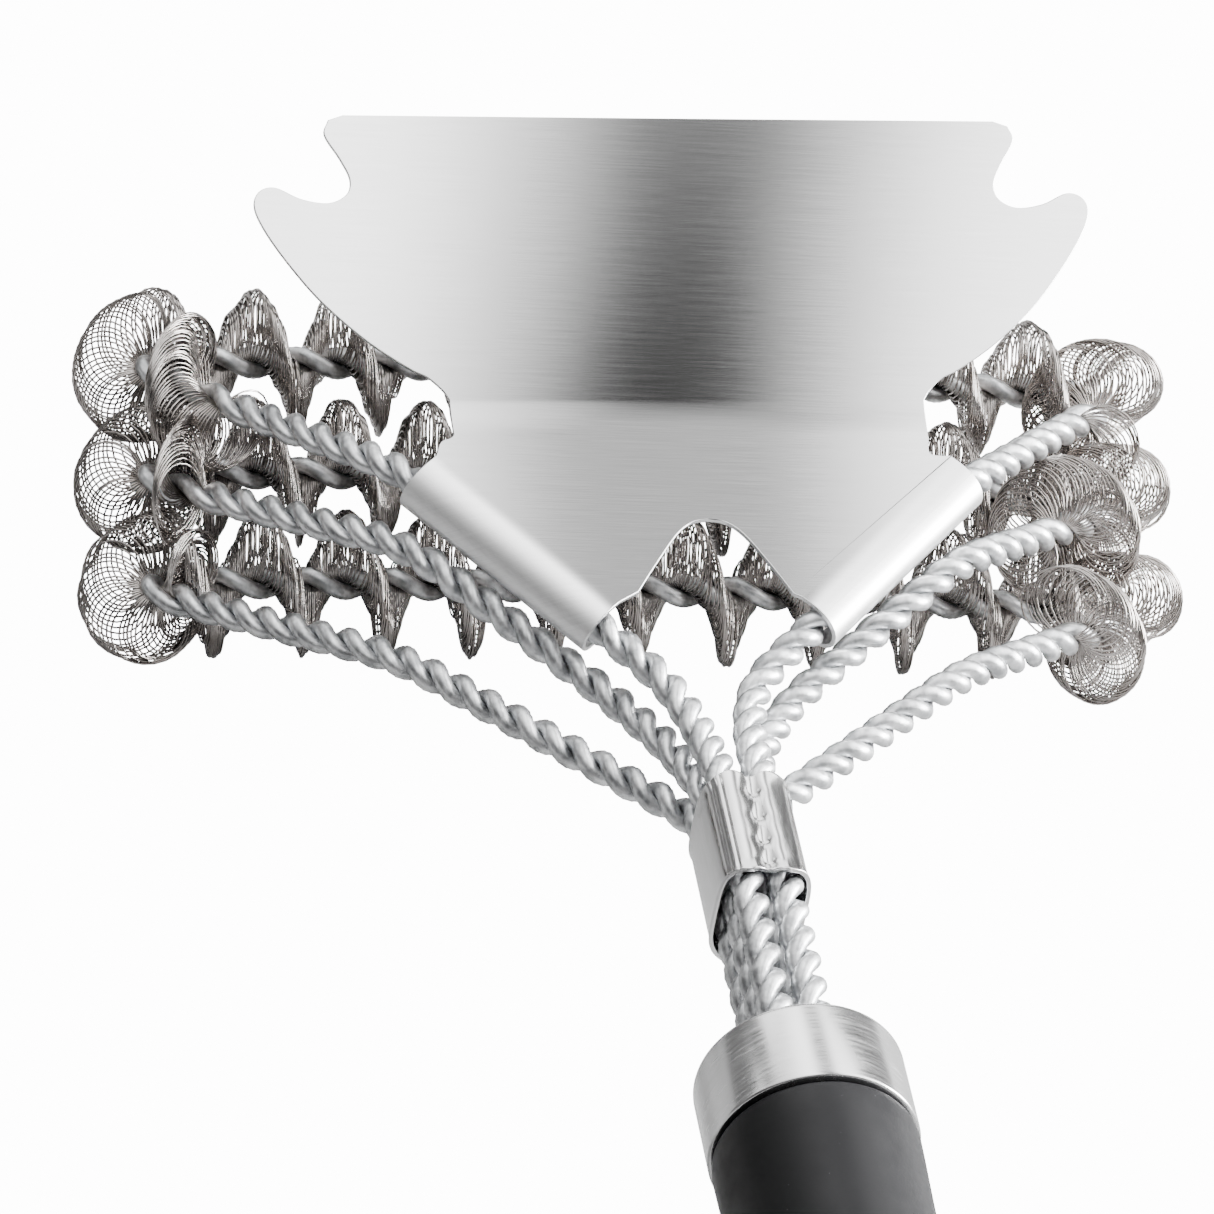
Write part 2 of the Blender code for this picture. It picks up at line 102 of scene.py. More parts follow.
# Scraper plate, in its own coordinates: x across, y up from the bend line
SHEET = 0.8
PLATE_ARM = LOOPS[0][2][1:3]  # the straight stretch of the upper arm that the hem wraps
PLATE_SKEW = math.radians(2.1)
PLATE_SHIFT = (1.56, -0.53)
BEND_FROM_ARM = 48.2
BEND_ANGLE = math.radians(23.8)
BEND_HALF = 3.2
BEND_STEPS = 8
BLADE_HALF = (
    (37.2, 3.2), (38.2, 4.7), (40.4, 6.7), (43.0, 8.0), (49.2, 12.2), (55.8, 18.2), (60.4, 23.8),
    (64.0, 29.2), (65.7, 33.2), (65.0, 35.8), (62.4, 36.6), (58.4, 34.8), (54.2, 34.2), (51.4, 35.6),
    (50.8, 38.0), (52.2, 41.2), (54.4, 45.0), (53.7, 47.4), (51.4, 48.2),
)
SHOULDER_HALF = ((37.2, -3.2), (37.4, -4.7), (38.3, -6.2))
TAB_INNER_HALF = ((11.9, -33.8), (8.6, -28.0), (5.2, -22.6), (2.6, -20.2))
TAB_TIP_Y = -38.8
TAB_TIP_SKEW = 0.5
ARCH_TOP = -19.6
# The hems, rolled tighter towards their rims. Each side's hem starts and ends at its own x
HEM_RADIUS = 3.5
HEM_ANGLE = math.radians(200)
HEM_LENGTH = 13.7
HEM_STEPS = 40
HEM_EASE = 1.9
HEM_POINTS = 12
HEM_START_INSIDE = 3.3
HEM_TOP_X = {1: 44.3, -1: 41.0}
HEM_END_X = {1: 17.4, -1: 15.6}
HEM_GRAIN = (-0.69, 0.73)
PLATE_EDGE = 0.16

# Crimp sleeve: a squared tube with a valley down each face, two seam lines and rows of dimples
SLEEVE_FRONT_Y = 0.4
SLEEVE_BACK_Y = -21.0
SLEEVE_HALF_X = 6.0
SLEEVE_HALF_Z = 8.7
SLEEVE_WALL = 0.7
SLEEVE_EDGE = 0.12
SLEEVE_SIDES = 160
SLEEVE_ROWS = 44
SLEEVE_SQUARE_X = 0.62
SLEEVE_SQUARE_Z = 0.5
VALLEY_WIDTH = 1.25
SEAMS = ((-5.15, 0.28, 0.22), (-4.2, 0.2, 0.154))
DIMPLES_Y = (-3.6, -8.8, -13.8, -18.4)
DIMPLE_LENGTH = 1.1
DIMPLE_DEPTH = 0.45
COLUMN_X = 2.8
COLUMN_WIDTH = 1.6
COLUMN_SHARE = 0.9
COLUMN_LEAST_SINE = 0.6
SLEEVE_END_LENGTH = 3.0
SLEEVE_END_SCALLOP = 0.72
SLEEVE_END_SWELL = 0.22
SLEEVE_SWELL_HALF = (6.0, 9.0)

# Collar, grip and end cap, turned about the handle's axis. Profiles hold (radius, y)
ROUND_STEPS = 128
ROUND_ANGLES = np.arange(ROUND_STEPS) * 2 * math.pi / ROUND_STEPS
AXIS_RADIUS = 0.01
COLLAR_FRONT_Y = -53.7
COLLAR_LENGTH = 15.1
COLLAR_RADIUS = 15.0
COLLAR_WALL = 1.2
COLLAR_HOLE_RADIUS = 9.2
COLLAR_FRONT_EDGE = 1.6
COLLAR_BACK_EDGE = 0.35
COLLAR_LIP_Y = 0.5
COLLAR_INSIDE_STEP = 6.0
GRIP_FRONT_Y = -57.0
GRIP_STEP_Y = -69.2
GRIP_PLUG_RADIUS = 13.4
GRIP_EDGE = (14.0, -70.0, 0.6)
GRIP_BODY_Y = -71.0
GRIP_BACK_EDGE = 0.5
GRIP_ROWS = 60
GRIP_PROFILE = (
    (14.6, -70.0), (14.7, -72.0), (14.2, -98.0), (15.0, -145.0),
    (16.0, -205.0), (15.4, -252.0), (14.5, -287.0), (14.6, -303.5),
)
GRIP_BACK_RADIUS = 14.1
CAP_FRONT_Y = -303.8
CAP_FRONT_RADIUS = 14.4
CAP_PROFILE = ((15.0, -305.0), (15.2, -310.0), (14.2, -315.5), (11.4, -319.2), (7.5, -320.6))
CAP_EDGE = 0.5
PIVOT_Y = -326.0
LUG_HALF_WIDTH = 4.5
LUG_RADIUS = 6.5
LUG_HOLE_RADIUS = 2.6
LUG_NECK = 8.0

# Resting pose: the brush frame lies on the lower coil and the handle's end
REST_TILT = 0.0547249
REST_PLACE = (0.0, 0.112574, 0.032133)

# Camera, relative to the brush frame
VIEW_TURN = math.radians(11.93)
VIEW_TIP = math.radians(39.89)
VIEW_ROLL = math.radians(-1.74)
VIEW_DISTANCE = 1007.9
VIEW_OFFSET = (19.13, -30.96)
LENS = 205.2

# Studio, in metres and watts
FLOOR_SIZE = 14.0
FLOOR_LEVEL = -0.0005
FLOOR_GLOW = 14.0
WORLD_GLOW = 0.2
LIGHT_TARGET = (0.0, 0.1, 0.03)
# Each area light's name, place, size and power
AREA_LIGHTS = (
    ("key", (1.1, 0.1, 0.45), (1.0, 1.2), 150.0),
    ("fill", (-1.0, 0.7, 0.9), (0.7, 0.7), 5.0),
    ("rim", (-0.1, 1.3, 0.8), (1.2, 0.4), 5.0),
)
# The card's box is (low x, high x, low y, high y). Its brightness is in (place, share) stops along x or y
CARD_GLOW = 5.0
CARD_HEIGHT = 0.29
CARD_BOX = (-0.6, 0.6, -0.4, 0.38)
GAP_ACROSS = (
    (-0.6, 0.05), (-0.35, 0.12), (-0.2, 0.26), (-0.11, 0.5), (-0.05, 0.85), (-0.02, 1.0), (-0.008, 1.0),
    (0.004, 0.76), (0.016, 0.46), (0.028, 0.25), (0.038, 0.10), (0.046, 0.03), (0.053, 0.012),
    (0.061, 0.03), (0.07, 0.09), (0.082, 0.24), (0.094, 0.5), (0.106, 0.8), (0.122, 1.0),
)
GAP_AHEAD = ((0.07, 0.0), (0.09, 0.0), (0.115, 0.012), (0.135, 0.04), (0.2, 0.12), (0.24, 0.16))
GAP_DIP = ((0.085, 0.10), (0.105, 0.05), (0.125, 0.0))
CARD_FADE = ((-0.4, 0.0), (-0.2, 0.1), (-0.1, 0.3), (-0.02, 0.8), (0.03, 1.0))

TO_WORLD = Matrix.Translation(REST_PLACE) @ Matrix.Rotation(REST_TILT, 4, "X")
TURN = np.array(TO_WORLD.to_3x3())
MOVE = np.array(TO_WORLD.translation)


def world(points):
    """Brush-frame points in millimetres as world points in metres."""
    return np.asarray(points, float) * MM @ TURN.T + MOVE


def unit(vectors):
    vectors = np.asarray(vectors, float)
    return vectors / np.linalg.norm(vectors, axis=-1, keepdims=True)


def hump(distance, width):
    """1 at no distance, falling smoothly to 0 over about two widths."""
    return np.exp(-((distance / width) ** 2))


# Material helpers


def new_material(name, colour, roughness, metallic):
    """A node material with its node tree and its principled shader."""
    made = bpy.data.materials.new(name)
    made.use_nodes = True
    tree = made.node_tree
    shader = tree.nodes["Principled BSDF"]
    shader.inputs["Base Color"].default_value = (*colour, 1.0)
    shader.inputs["Roughness"].default_value = roughness
    shader.inputs["Metallic"].default_value = metallic
    return made, tree, shader


def noise(tree, vector, scale, detail=4.0, roughness=0.55):
    made = tree.nodes.new("ShaderNodeTexNoise")
    made.inputs["Scale"].default_value = scale
    made.inputs["Detail"].default_value = detail
    made.inputs["Roughness"].default_value = roughness
    tree.links.new(vector, made.inputs["Vector"])
    return made.outputs["Fac"]


def ramp(tree, value, stops):
    """A colour ramp through (position, grey or colour) stops."""
    made = tree.nodes.new("ShaderNodeValToRGB")
    tree.links.new(value, made.inputs["Fac"])
    elements = made.color_ramp.elements
    elements.remove(elements[1])
    elements[0].position = 0.0
    for number, (place, colour) in enumerate(stops):
        element = elements[0] if number == 0 else elements.new(place)
        element.position = place
        element.color = (*colour, 1.0) if isinstance(colour, tuple) else (colour, colour, colour, 1.0)
    return made.outputs["Color"]


def follow(tree, shader, socket, value, stops):
    """Makes a shader's socket follow a ramp over a value."""
    tree.links.new(ramp(tree, value, stops), shader.inputs[socket])


def maths(tree, operation, first, second):
    """One step of maths on a socket and on another socket or a number."""
    made = tree.nodes.new("ShaderNodeMath")
    made.operation = operation
    tree.links.new(first, made.inputs[0])
    if isinstance(second, float):
        made.inputs[1].default_value = second
    else:
        tree.links.new(second, made.inputs[1])
    return made.outputs[0]


def scaled(tree, vector, scale):
    mapping = tree.nodes.new("ShaderNodeMapping")
    mapping.inputs["Scale"].default_value = scale
    tree.links.new(vector, mapping.inputs["Vector"])
    return mapping.outputs["Vector"]


def object_place(tree, scale=(1.0, 1.0, 1.0)):
    """Object coordinates scaled along each axis."""
    place = tree.nodes.new("ShaderNodeTexCoord")
    return scaled(tree, place.outputs["Object"], scale)


def uv_place(tree, layer):
    made = tree.nodes.new("ShaderNodeUVMap")
    made.uv_map = layer
    return made.outputs["UV"]


def bump(tree, shader, height, strength, distance):
    made = tree.nodes.new("ShaderNodeBump")
    made.inputs["Strength"].default_value = strength
    made.inputs["Distance"].default_value = distance
    tree.links.new(height, made.inputs["Height"])
    tree.links.new(made.outputs["Normal"], shader.inputs["Normal"])


# Materials


def galvanized():
    """Dull zinc-grey wire: mottled, satin, finely pitted."""
    made, tree, shader = new_material("galvanized_look", (0.5, 0.51, 0.52), 0.36, 0.9)
    place = object_place(tree)
    blotch = noise(tree, place, 420.0, 6.0)
    follow(tree, shader, "Base Color", blotch, ((0.36, (0.38, 0.39, 0.40)), (0.62, (0.78, 0.79, 0.80))))
    follow(tree, shader, "Roughness", noise(tree, place, 900.0), ((0.3, 0.28), (0.7, 0.44)))
    bump(tree, shader, noise(tree, place, 2600.0, 3.0), 0.25, 0.00006)
    return made


def spring_steel():
    """Bright drawn stainless wire with a faint brownish tint."""
    made, tree, shader = new_material("spring_look", (0.7, 0.68, 0.66), 0.14, 1.0)
    tint = noise(tree, object_place(tree), 160.0)
    follow(tree, shader, "Base Color", tint, ((0.3, (0.30, 0.27, 0.25)), (0.7, (0.58, 0.55, 0.53))))
    return made


def brushed_sheet():
    """Stainless sheet brushed across the head, with stretched highlights and duller rolled hems."""
    made, tree, shader = new_material("brushed_look", (0.80, 0.80, 0.80), 0.3, 1.0)
    shader.inputs["Anisotropic"].default_value = 0.7
    tangent = tree.nodes.new("ShaderNodeTangent")
    tangent.direction_type = "UV_MAP"
    tangent.uv_map = "grain"
    tree.links.new(tangent.outputs["Tangent"], shader.inputs["Tangent"])
    grain = noise(tree, scaled(tree, uv_place(tree, "grain"), (7.0, 0.07, 1.0)), 1.0, 8.0, 0.7)
    grain_roughness = ramp(tree, grain, ((0.25, 0.12), (0.75, 0.17)))
    roll_roughness = ramp(tree, uv_place(tree, "roll"), ((0.0, 0.12), (0.12, 0.42), (1.0, 0.5)))
    roughness = maths(tree, "MAXIMUM", grain_roughness, roll_roughness)
    tree.links.new(roughness, shader.inputs["Roughness"])
    follow(tree, shader, "Base Color", grain, ((0.3, 0.68), (0.7, 0.86)))
    bump(tree, shader, grain, 0.05, 0.00005)
    return made


def bright_steel(name, scratch_scale, rough):
    """Bright steel with light scratches round or along the piece."""
    made, tree, shader = new_material(name, (0.74, 0.73, 0.72), rough, 1.0)
    scratch = noise(tree, object_place(tree, scratch_scale), 1.0, 7.0, 0.7)
    follow(tree, shader, "Roughness", scratch, ((0.3, rough * 0.7), (0.75, rough * 1.6)))
    follow(tree, shader, "Base Color", scratch, ((0.3, 0.66), (0.7, 0.80)))
    bump(tree, shader, scratch, 0.12, 0.00005)
    return made


def black_plastic():
    """Satin moulded black plastic with fine grain and a few pale dust specks."""
    made, tree, shader = new_material("plastic_look", (0.018, 0.018, 0.02), 0.42, 0.0)
    shader.inputs["Specular IOR Level"].default_value = 0.15
    place = object_place(tree)
    specks = noise(tree, place, 1100.0, 2.0)
    follow(tree, shader, "Base Color", specks, ((0.76, (0.009, 0.009, 0.010)), (0.80, (0.10, 0.10, 0.11))))
    follow(tree, shader, "Roughness", noise(tree, place, 240.0), ((0.3, 0.36), (0.7, 0.48)))
    bump(tree, shader, noise(tree, place, 3200.0, 2.0), 0.12, 0.00005)
    return made


# Mesh helpers


def add_piece(name, points, faces, look):
    """A smooth piece from brush-frame points, which replaces the CAD node of the same name."""
    data = bpy.data.meshes.new(name)
    data.from_pydata([tuple(p) for p in world(points)], [], faces)
    data.validate()
    shape = bmesh.new()
    shape.from_mesh(data)
    bmesh.ops.recalc_face_normals(shape, faces=shape.faces)
    shape.to_mesh(data)
    shape.free()
    data.shade_smooth()
    data.materials.append(look)
    made = bpy.data.objects.new(name, data)
    bpy.context.scene.collection.objects.link(made)
    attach(made, "brush")
    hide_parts(name)
    return made


def thicken(made, thickness):
    """Gives a sheet its thickness, half on each side."""
    wall = made.modifiers.new("wall", "SOLIDIFY")
    wall.thickness = thickness * MM
    wall.offset = 0.0
    wall.use_even_offset = True
    return wall


def round_edges(made, width, segments):
    edge = made.modifiers.new("edge", "BEVEL")
    edge.width = width * MM
    edge.segments = segments
    edge.limit_method = "ANGLE"
    edge.angle_limit = BEVEL_ANGLE


def keep_corners(made):
    """Shades the piece smooth except over its corners."""
    made.data.set_sharp_from_angle(angle=SHARP_ANGLE)


def tube_faces(count, sides):
    """Quads along a tube of rings, with an end face on each end."""
    k = np.arange(count - 1)[:, None] * sides
    i = np.arange(sides)[None, :]
    j = (i + 1) % sides
    quads = np.stack([k + i, k + j, k + sides + j, k + sides + i], axis=-1).reshape(-1, 4)
    ends = [list(range(sides))[::-1], list(range((count - 1) * sides, count * sides))]
    return [tuple(q) for q in quads.tolist()] + [tuple(e) for e in ends]


def tube(points, normals, radius, sides):
    """Ring points round a path, given a direction across the path at each point."""
    tangents = unit(np.gradient(points, axis=0))
    normals = unit(normals - (normals * tangents).sum(1, keepdims=True) * tangents)
    others = np.cross(tangents, normals)
    angles = np.arange(sides) * 2 * math.pi / sides
    rings = (
        points[:, None]
        + radius * np.cos(angles)[None, :, None] * normals[:, None]
        + radius * np.sin(angles)[None, :, None] * others[:, None]
    )
    return rings.reshape(-1, 3)


def smoothed(points, steps=5):
    """A smooth curve through the points."""
    points = np.asarray(points, float)
    padded = np.vstack([2 * points[0] - points[1], points, 2 * points[-1] - points[-2]])
    made = []
    for a, b, c, d in zip(padded, padded[1:], padded[2:], padded[3:]):
        for t in np.linspace(0, 1, steps, endpoint=False):
            square = (2 * a - 5 * b + 4 * c - d) * t**2
            cube = (3 * b - a - 3 * c + d) * t**3
            made.append(0.5 * (2 * b + (c - a) * t + square + cube))
    made.append(points[-1])
    return [tuple(p) for p in made]


# Loop centrelines


def rounded(points):
    """The polyline with each inner corner replaced by a short curve."""
    points = [np.asarray(p, float) for p in points]
    made = [points[0]]
    for before, corner, after in zip(points, points[1:], points[2:]):
        reach_in = min(BEND_CUT, BEND_CUT_SHARE * np.linalg.norm(corner - before))
        reach_out = min(BEND_CUT, BEND_CUT_SHARE * np.linalg.norm(after - corner))
        start = corner + unit(before - corner) * reach_in
        end = corner + unit(after - corner) * reach_out
        for t in np.linspace(0, 1, BEND_CUT_STEPS):
            made.append((1 - t) ** 2 * start + 2 * t * (1 - t) * corner + t * t * end)
    made.append(points[-1])
    return made


def half_loop(layer, bends, corner):
    """Centreline on the +X side, from the strand's end in the handle to the crossbar's middle."""
    last = np.array(bends[-1])
    rise = np.array([0.0, corner[1] - last[1], corner[2] - last[2]])
    climb = unit(rise)
    centre = np.array([corner[0] - CORNER_RADIUS, corner[1], corner[2]])
    to_centre = np.array([centre[0] - last[0], np.linalg.norm(rise)])
    heading = math.atan2(to_centre[1], to_centre[0]) - math.asin(CORNER_RADIUS / np.linalg.norm(to_centre))

    def on_corner(angle):
        across = np.array([CORNER_RADIUS * math.cos(angle), 0.0, 0.0])
        return centre + across + climb * CORNER_RADIUS * math.sin(angle)

    arc = [on_corner(a) for a in np.linspace(heading - math.pi / 2, math.pi / 2, CORNER_STEPS)]
    strand = [(STRAND_HALF_GAP, WIRE_END_Y, layer), (STRAND_HALF_GAP, STRAND_TOP_Y, layer)]
    arm = rounded(strand + list(bends) + [arc[0]])
    away = unit([0.0, corner[1], corner[2] - layer])
    bar_end = arc[-1]
    bar_middle = np.array([0.0, corner[1], corner[2]]) + away * BAR_BOW
    bar = []
    for t in np.linspace(1, 0, BAR_STEPS)[1:]:
        level = bar_end * t * t + bar_middle * (1 - t * t)
        bar.append(np.array([bar_end[0] * t, level[1], level[2]]))
    return arm + arc[1:] + bar


class Path:
    """A loop's centreline, resampled evenly, with a frame at any distance along it."""

    def __init__(self, half, spring_past_bar):
        mirrored = [p * np.array([-1.0, 1.0, 1.0]) for p in half]
        rough = np.array(mirrored + half[-2::-1])
        steps = np.linalg.norm(np.diff(rough, axis=0), axis=1)
        along = np.concatenate([[0.0], np.cumsum(steps)])
        self.length = along[-1]
        self.middle = self.length / 2
        self.along = np.linspace(0, self.length, PATH_SAMPLES)
        self.points = np.stack([np.interp(self.along, along, rough[:, k]) for k in range(3)], axis=1)
        tangents = unit(np.gradient(self.points, axis=0))
        up = np.array([0.0, 0.0, 1.0])
        self.normals = unit(up - tangents * tangents[:, [2]])
        self.levels = np.cross(tangents, self.normals)
        self.bar_end = CORNER_X - CORNER_RADIUS
        self.spring_start = self.middle - self.bar_end - spring_past_bar[0]
        self.spring_end = self.middle + self.bar_end + spring_past_bar[1]
        self.twist = self.twist_angles()

    def twist_angles(self):
        """The twist's angle all along: slower where the spring is, faster on the bare arms."""
        outside = np.maximum(self.spring_start - self.along, self.along - self.spring_end)
        blend = 1 / (1 + np.exp(-outside / TWIST_BLEND))
        places, lays = zip(*BAR_LAY)
        bar_lay = np.interp(self.along - self.middle, places, lays)
        rate = 2 * math.pi * ((1 - blend) / bar_lay + blend / ARM_LAY)
        step = self.along[1] - self.along[0]
        twist = np.concatenate([[0.0], np.cumsum((rate[1:] + rate[:-1]) / 2 * step)])
        return twist - np.interp(self.middle, self.along, twist) + TWIST_AT_MIDDLE

    def read(self, values, where):
        return np.stack([np.interp(where, self.along, values[:, k]) for k in range(3)], axis=1)

    def frames(self, where):
        """Position, twist angle and the two directions across the path."""
        angle = np.interp(where, self.along, self.twist)
        normals, levels = self.read(self.normals, where), self.read(self.levels, where)
        return self.read(self.points, where), angle, normals, levels


def spoke(angle, normals, levels):
    """The direction across the path at each angle round it."""
    return np.cos(angle)[:, None] * normals + np.sin(angle)[:, None] * levels


# Wires and coils


def core_wire(name, path, side, look):
    """One of the two round wires that twist together along a loop."""
    where = np.arange(0, path.length, WIRE_STEP)
    place, angle, normals, levels = path.frames(where)
    out = spoke(angle + math.pi * side, normals, levels)
    points = tube(place + out * TWIST_RADIUS, out, CORE_RADIUS, WIRE_SIDES)
    return add_piece(name, points, tube_faces(len(where), WIRE_SIDES), look)


def loop_places(path):
    """Where each spring loop sits along the path: closer together round the corners and on the arms."""
    where = path.spring_start
    places = []
    while where < path.spring_end:
        beyond = abs(where - path.middle) - (path.bar_end - SPACING_BLEND)
        share = 1 / (1 + math.exp(-beyond / SPACING_BLEND))
        places.append(where)
        where += BAR_SPACING * (1 - share) + CORNER_SPACING * share
    return np.array(places)


def scatter(chance, spread, count):
    """Random amounts, smoothed over a few neighbours."""
    drawn = chance.normal(0, spread, count + 2 * SCATTER_WIDTH)
    return np.convolve(drawn, np.ones(SCATTER_WIDTH) / SCATTER_WIDTH, "valid")[:count]


def coil_sleeve(name, path, look, seed):
    """Fine spring wire whose loops are all pinched between the core wires and turn with their twist."""
    chance = np.random.default_rng(seed)
    places = loop_places(path)
    count = len(places)
    slip = scatter(chance, SLIP_SPREAD, count)
    stray = scatter(chance, STRAY_SPREAD, count)
    lean = LOOP_LEAN + scatter(chance, LEAN_SPREAD, count)
    size = LOOP_RADIUS * (1 - np.abs(scatter(chance, SIZE_SPREAD, count)))

    wound = np.arange((count - 1) * LOOP_SEGMENTS + 1) / LOOP_SEGMENTS
    where, slip, stray, lean, size = (
        np.interp(wound, np.arange(count), values) for values in (places, slip, stray, lean, size)
    )
    place, angle, normals, levels = path.frames(where)
    angle = angle + stray
    tangents = np.cross(normals, levels)
    around = wound * 2 * math.pi
    bulge = (1 - np.cos(around)) / 2
    out = spoke(angle, normals, levels)
    level = spoke(angle + math.pi / 2, normals, levels)
    side = level * np.cos(lean)[:, None] + tangents * np.sin(lean)[:, None]
    ring = -np.cos(around)[:, None] * out + np.sin(around)[:, None] * side
    wide = side * (np.sin(around) * (LOOP_HALF_WIDTH / LOOP_RADIUS - 1))[:, None]
    centres = place + (out + ring + wide) * size[:, None] + tangents * (slip * bulge)[:, None]
    points = tube(centres, ring, SPRING_RADIUS, SPRING_SIDES)
    return add_piece(name, points, tube_faces(len(where), SPRING_SIDES), look)


# Scraper plate


def askew(x, y, share):
    """A point turned and shifted in the plate's plane: the plate sits slightly askew on the arms."""
    turn = PLATE_SKEW * share
    across = math.cos(turn) * x - math.sin(turn) * y + PLATE_SHIFT[0] * share
    return across, math.sin(turn) * x + math.cos(turn) * y + PLATE_SHIFT[1] * share


class PlateSheet:
    """The plate's points and faces, with each point's place on the flat sheet and how far it is rolled."""

    def __init__(self):
        inner, outer = np.array(PLATE_ARM)
        self.arm_start = inner[0]
        self.run = outer[0] - inner[0]
        self.rise = outer[1:] - inner[1:]
        self.arm_rate = np.linalg.norm(self.rise) / self.run
        slope = math.atan2(self.rise[1], self.rise[0])
        self.across = np.array([1.0, 0.0, 0.0])
        self.ahead = np.array([0.0, math.cos(slope), math.sin(slope)])
        self.above = np.array([0.0, -math.sin(slope), math.cos(slope)])
        middle = np.array([0.0, inner[1], inner[2]])
        self.bend = middle + self.above * HEM_RADIUS + self.ahead * BEND_FROM_ARM
        self.points, self.grain, self.rolled, self.faces = [], [], [], []

    def add(self, place, flat, roll=0.0):
        self.points.append(place)
        self.grain.append(flat)
        self.rolled.append(roll)
        return len(self.points) - 1

    def on_tabs(self, x, y, share):
        """A point below the bend, with its share of the skew: the hems have none and follow the arms."""
        x, y = askew(x, y, share)
        return self.add(self.bend + self.across * x + self.ahead * y, (y, x))

    def on_blade(self, x, y):
        x, y = askew(x, y, 1.0)
        up = self.ahead * math.cos(BEND_ANGLE) + self.above * math.sin(BEND_ANGLE)
        return self.add(self.bend + self.across * x + up * y, (y, x))

    def on_bend(self, x, share):
        """A point of the rounded bend, this share of the way from the tabs to the blade."""
        radius = BEND_HALF / math.tan(BEND_ANGLE / 2)
        turn = BEND_ANGLE * share
        level = BEND_HALF * (2 * share - 1)
        askew_x, askew_y = askew(x, level, 1.0)
        drift = (self.ahead * math.cos(turn) + self.above * math.sin(turn)) * (askew_y - level)
        reach, climb = radius * math.sin(turn) - BEND_HALF, radius * (1 - math.cos(turn))
        place = self.bend + self.across * askew_x + self.ahead * reach + self.above * climb + drift
        return self.add(place, (askew_y, askew_x))

    def add_blade(self):
        """The flat blade. Returns its two lowest corners."""
        outline = smoothed(BLADE_HALF[:-1]) + [BLADE_HALF[-1]]
        right = [self.on_blade(x, y) for x, y in outline]
        left = [self.on_blade(-x, y) for x, y in outline]
        self.faces.append(right + left[::-1])
        return left[0], right[0]

    def add_bend(self, top):
        """The rounded bend under the blade. Returns its two lowest corners."""
        waist = BLADE_HALF[0][0]
        shares = np.arange(BEND_STEPS) / BEND_STEPS
        rows = [(self.on_bend(-waist, share), self.on_bend(waist, share)) for share in shares]
        for low, high in zip(rows, rows[1:] + [top]):
            self.faces.append([low[0], low[1], high[1], high[0]])
        return rows[0]

    def hem_line(self, side):
        """Where one hem leaves the flat sheet, a little inside the line of the arm."""
        inward = np.array([self.arm_rate, -1.0]) / math.hypot(self.arm_rate, 1.0) * -HEM_START_INSIDE
        xs = np.linspace(HEM_TOP_X[side], HEM_END_X[side], HEM_POINTS)
        ys = (xs - self.arm_start) * self.arm_rate - BEND_FROM_ARM
        return list(zip(xs + inward[0], ys + inward[1]))

    def add_tabs(self, bottom):
        """The flat sheet from the bend to the hems, round the arch. Returns each hem's first row."""
        inner_edge = smoothed(list(TAB_INNER_HALF) + [(0.0, ARCH_TOP)])[:-1]
        rows, sides = {}, {}
        for side in (1, -1):
            line = self.hem_line(side)
            shoulder = smoothed(list(SHOULDER_HALF) + [line[0]])[1:-1]
            edge = [self.on_tabs(side * x, y, 1.0 - k / len(shoulder)) for k, (x, y) in enumerate(shoulder)]
            rows[side] = [self.on_tabs(side * x, y, 0.0) for x, y in line]
            sides[side] = edge + rows[side] + [self.on_inner_edge(side * x, y) for x, y in inner_edge]
        arch = self.on_tabs(0.0, ARCH_TOP, 1.0)
        self.faces.append([bottom[0]] + sides[-1] + [arch] + sides[1][::-1] + [bottom[1]])
        return rows

    def on_inner_edge(self, x, y):
        """A point beside the arch, with the full skew at its top and part of it at the tab's tip."""
        fall = (ARCH_TOP - y) / (ARCH_TOP - TAB_TIP_Y)
        return self.on_tabs(x, y, 1.0 - (1.0 - TAB_TIP_SKEW) * fall)

    def add_hem(self, side, base):
        """The sheet rolled down and round the arm from the hem's first row."""
        along = unit(np.array([side * self.run, *self.rise]))
        sideways = unit(np.cross(along, self.above)) * side
        grain_step = np.array([HEM_GRAIN[0], side * HEM_GRAIN[1]])
        step = HEM_LENGTH / HEM_STEPS
        reach, drop, arc, row = 0.0, 0.0, 0.0, base
        for k in range(1, HEM_STEPS + 1):
            angle = HEM_ANGLE * ((k - 0.5) / HEM_STEPS) ** HEM_EASE
            reach += step * math.cos(angle)
            drop += step * math.sin(angle)
            arc += step
            turn = sideways * reach - self.above * drop
            slide = grain_step * arc
            roll = angle / HEM_ANGLE
            next_row = [self.add(self.points[i] + turn, self.grain[i] + slide, roll) for i in base]
            for i in range(len(row) - 1):
                self.faces.append([row[i], row[i + 1], next_row[i + 1], next_row[i]])
            row = next_row


def scraper_plate(look):
    """The bent, brushed sheet with its two lower edges rolled round the upper loop's arms."""
    sheet = PlateSheet()
    hem_rows = sheet.add_tabs(sheet.add_bend(sheet.add_blade()))
    for side, row in hem_rows.items():
        sheet.add_hem(side, row)
    made = add_piece("scraper_plate", sheet.points, sheet.faces, look)
    for layer_name in ("grain", "roll"):
        made.data.uv_layers.new(name=layer_name)
    for loop in made.data.loops:
        made.data.uv_layers["grain"].data[loop.index].uv = sheet.grain[loop.vertex_index]
        made.data.uv_layers["roll"].data[loop.index].uv = (sheet.rolled[loop.vertex_index],) * 2
    thicken(made, SHEET).use_quality_normals = True
    round_edges(made, PLATE_EDGE, 2)
    made.modifiers.new("flat", "WEIGHTED_NORMAL").keep_sharp = True
    return made


# Crimp sleeve, collar, grip, cap and ring


